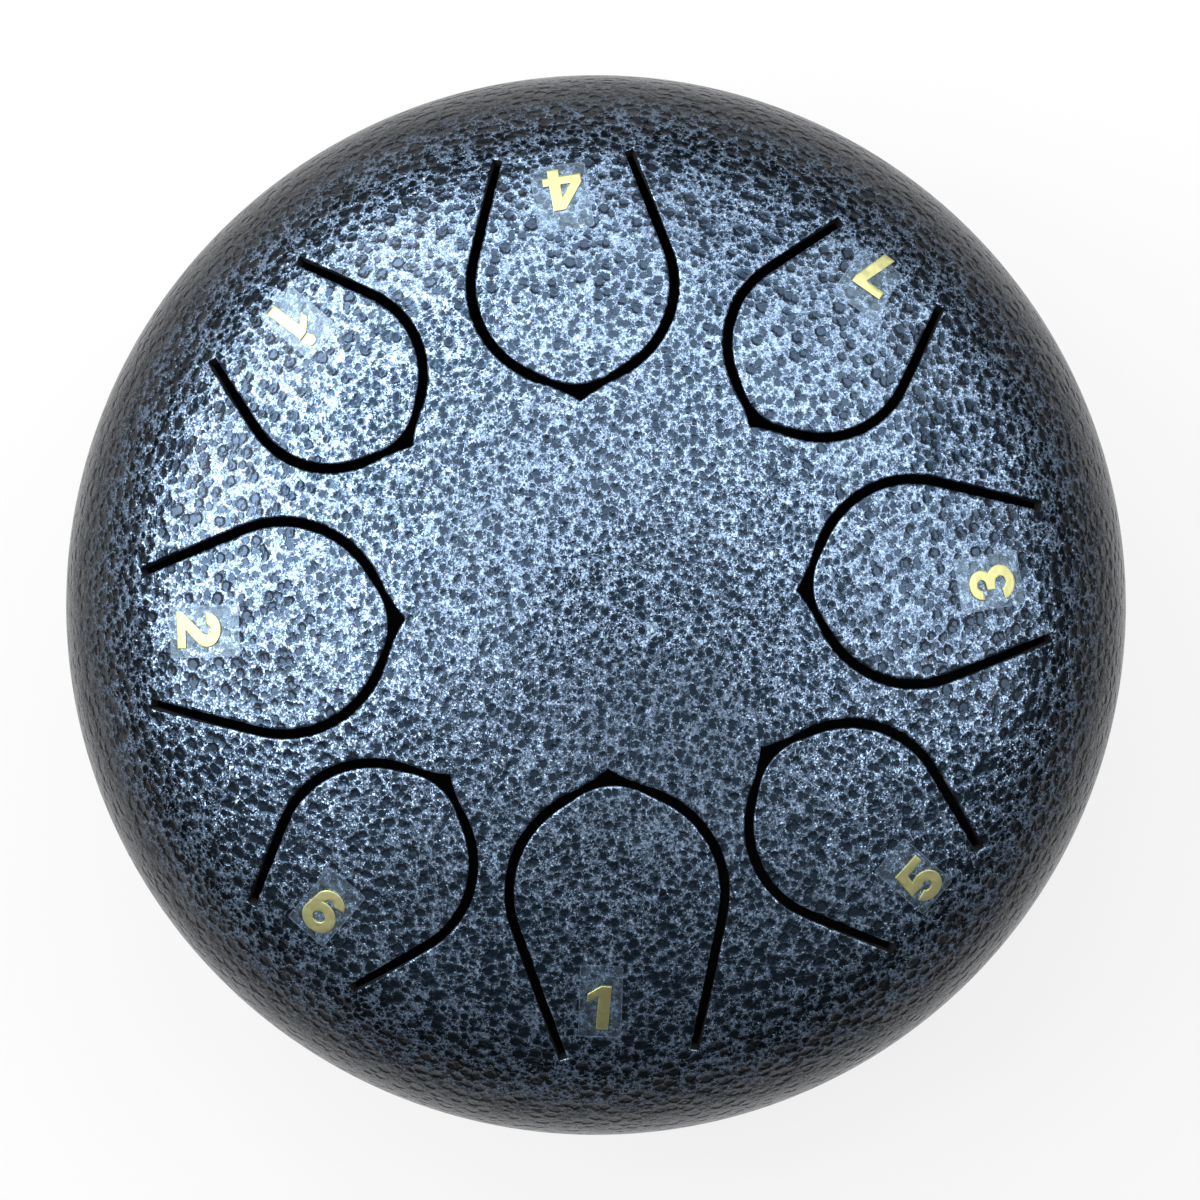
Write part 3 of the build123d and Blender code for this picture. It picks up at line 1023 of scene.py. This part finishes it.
def adhesive_foam():
    """Pale foam of the adhesive discs."""
    finish = Finish("adhesive_disc_foam")
    pores = finish.cells(finish.place, 3.0).outputs["Distance"]
    finish.set(Base_Color=finish.mix(pores, *FOAM))
    finish.set(Roughness=0.85, Normal=finish.bump(pores, 0.05))
    return finish.material


def studio_floor():
    """White floor, drawn out wide, that keeps the drum's soft shadow. Its glow holds a painted pool of light
    and turns grey far off as painted shade.
    """
    bm = bmesh.new()
    bmesh.ops.create_circle(bm, cap_ends=True, radius=FLOOR_RADIUS * MM, segments=FLOOR_SEGMENTS)
    floor = placed(bm, "studio_floor")
    finish = Finish("floor_white")
    tree = finish.tree
    grain = finish.noise(0.02, 2.0).outputs["Fac"]
    finish.set(Base_Color=finish.mix(grain, *FLOOR), Roughness=0.9)
    finish.set(Specular_IOR_Level=0.2)
    path = tree.nodes.new("ShaderNodeLightPath")
    seen = finish.math("ADD", path.outputs["Is Camera Ray"], path.outputs["Is Glossy Ray"], clamp=True)
    seen = finish.math("ADD", seen, path.outputs["Is Transmission Ray"], clamp=True)
    from_axis = finish.away_from((0, 0, 0))
    seen = finish.math("MULTIPLY", seen, finish.ramp(from_axis, *UNDER_DRUM_EDGE, 0.0, FLOOR_GLOW))
    # Painted light: the glow is white near the drum and in a pool towards the light, and grey farther off.
    near = finish.ramp(from_axis, *NEAR_FLOOR_EDGE)
    painted_pool = finish.ramp(finish.away_from(PAINTED_LIGHT_POOL), *PAINTED_LIGHT_POOL_EDGE)
    glow_with_painted_pool = finish.mix(finish.math("MINIMUM", near, painted_pool), WHITE, FAR_FLOOR_PAINTED_SHADE)
    glow = finish.node("ShaderNodeEmission", {"Color": glow_with_painted_pool, "Strength": 1.0})
    blend = finish.node("ShaderNodeMixShader", {0: seen, 1: finish.shader.outputs[0], 2: glow.outputs[0]})
    tree.links.new(blend.outputs[0], tree.nodes["Material Output"].inputs["Surface"])
    floor.data.materials.append(finish.material)


def soft_light(name, bearing, zenith, size, power):
    """Square soft box that looks at the drum from a bearing of the photo and an angle off the zenith."""
    lamp = bpy.data.lights.new(name, "AREA")
    lamp.shape = "SQUARE"
    lamp.size = size * MM
    lamp.energy = power
    box = bpy.data.objects.new(name, lamp)
    turn = math.radians(bearing - PHOTO_TURN)
    lean = math.radians(zenith)
    away = Vector((math.sin(lean) * math.cos(turn), math.sin(lean) * math.sin(turn), math.cos(lean)))
    box.location = Vector((0, 0, SEAM_HEIGHT * MM)) + away * BOX_DISTANCE * MM
    box.rotation_euler = away.to_track_quat("Z", "Y").to_euler()
    box.visible_camera = False
    bpy.context.scene.collection.objects.link(box)


def studio_light():
    """Soft boxes, brightest at the upper left of the photo, in a dim room."""
    world = bpy.data.worlds.new("dim_room")
    bpy.context.scene.world = world
    world.use_nodes = True
    world.node_tree.nodes["Background"].inputs["Color"].default_value = ROOM_LIGHT
    for name, (bearings, zenith, size, power) in SOFT_BOXES.items():
        for bearing in bearings:
            soft_light(f"{name}_{bearing}", bearing, zenith, size, power)


def photo_camera():
    """Camera over the drum's middle, turned as in the photo."""
    camera = bpy.data.cameras.new("photo_camera")
    camera.sensor_width = CAMERA_SENSOR
    camera.lens = camera.sensor_width * CAMERA_HEIGHT / CAMERA_FIELD
    camera.shift_x = CAMERA_STEP[0] / PHOTO_PIXELS
    camera.shift_y = CAMERA_STEP[1] / PHOTO_PIXELS
    view = bpy.data.objects.new("photo_camera", camera)
    view.location = (0, 0, (SEAM_HEIGHT + CAMERA_HEIGHT) * MM)
    view.rotation_euler = (0, 0, math.radians(-PHOTO_TURN))
    bpy.context.scene.collection.objects.link(view)
    bpy.context.scene.camera = view
    bpy.context.scene.view_settings.view_transform = "Standard"


def build():
    """Every visible piece, the floor, the light and the camera."""
    tongues = [Tongue(note) for note in TONGUES]
    paint = hammertone_paint()
    primer_and_shade = inside_primer_and_painted_shade()
    film = clear_film()
    film_edge = film_cut_edge()
    gold = numeral_gold()
    rubber = foot_rubber()
    foam = adhesive_foam()
    make_upper_pieces(tongues, paint, primer_and_shade)
    make_lower_bowl(paint, primer_and_shade)
    make_seam_bead(paint)
    for tongue in tongues:
        make_label(tongue, film, film_edge)
        make_numeral(tongue, gold)
    for number in (1, 2, 3):
        make_foot(number, rubber)
        disc = frame["nodes"][f"foot_adhesive_{number}"]
        disc.data.materials.clear()
        disc.data.materials.append(foam)
    studio_floor()
    studio_light()
    photo_camera()


build()
